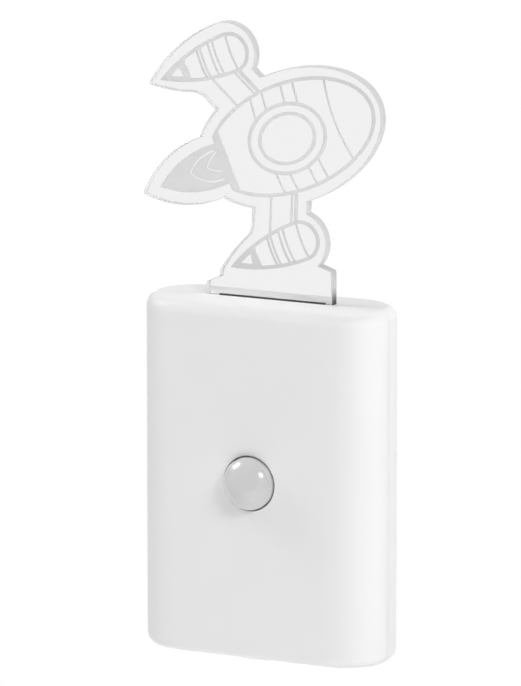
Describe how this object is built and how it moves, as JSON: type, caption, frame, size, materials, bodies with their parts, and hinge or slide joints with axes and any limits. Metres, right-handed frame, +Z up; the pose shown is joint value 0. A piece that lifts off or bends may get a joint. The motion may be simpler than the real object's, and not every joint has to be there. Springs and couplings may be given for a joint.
{
  "type": "plug in night light",
  "caption": "Plug-in night light: white rounded case, domed motion sensor, mode switch below, and a lift-out edge-lit clear panel cut as a rocket on top.",
  "frame": {"origin": "middle of the flat back, where it meets the wall plate, midway between the plug blades", "axes": "+Z up, +Y out of the back into the wall along the plug blades, +X to the right seen from the room"},
  "size_m": [0.0678, 0.0476, 0.1595],
  "materials": {
    "white_abs": "moulded white ABS, fine satin gloss",
    "clear_acrylic": "clear cast acrylic, polished laser-cut edge, engraved",
    "white_nylon": "moulded white nylon, matt",
    "green_board": "FR4 board with solder mask",
    "white_board": "aluminium-core board, white mask",
    "led_package": "white LED package with yellow phosphor",
    "wire_red": "PVC wire insulation",
    "wire_black": "PVC wire insulation",
    "lens_pe": "translucent moulded polyethylene lens",
    "black_nylon": "moulded black nylon",
    "nickel_can": "nickel-plated steel can",
    "filter_glass": "coated silicon filter window",
    "tinned_lead": "tinned copper wire",
    "clear_epoxy": "clear epoxy",
    "yellow_box": "film capacitor box",
    "can_sleeve": "shrink sleeve of the electrolytic",
    "black_epoxy": "moulded epoxy package",
    "grey_coat": "flameproof coating",
    "nickel_brass": "nickel-plated brass",
    "zinc_steel": "zinc-plated steel"
  },
  "bodies": {
    "root": {"front_shell": "white_abs", "rear_shell": "white_abs", "panel_holder": "white_nylon", "led_board": "white_board", "leds": "led_package", "light_wires": "wire_red", "pir_lens": "lens_pe", "lens_collar": "black_nylon", "pir_can": "nickel_can", "pir_window": "filter_glass", "pir_leads": "tinned_lead", "dusk_sensor": "clear_epoxy", "main_board": "green_board", "film_capacitor": "yellow_box", "smoothing_capacitor": "can_sleeve", "capacitor_leads": "tinned_lead", "bridge_rectifier": "black_epoxy", "fuse_resistor": "grey_coat", "fuse_leads": "tinned_lead", "control_chip": "black_epoxy", "chip_resistors": "black_epoxy", "switch_body": "zinc_steel", "switch_pins": "tinned_lead", "blade_left": "nickel_brass", "blade_right": "nickel_brass", "blade_clamp": "white_nylon", "supply_wire_left": "wire_black", "supply_wire_right": "wire_black", "case_screws": "zinc_steel", "board_screws": "zinc_steel", "holder_screws": "zinc_steel", "clamp_screws": "zinc_steel"},
    "panel": {"rocket_panel": "clear_acrylic"},
    "mode_switch": {"switch_slider": "black_nylon", "switch_knob": "white_abs"}
  },
  "joints": [
    {"name": "panel_lift", "type": "slide", "parent": "root", "child": "panel", "axis": [0, 0, 1], "range_m": [0, 0.01]},
    {"name": "mode_slide", "type": "slide", "parent": "root", "child": "mode_switch", "axis": [1, 0, 0], "range_m": [-0.002, 0.002]}
  ]
}
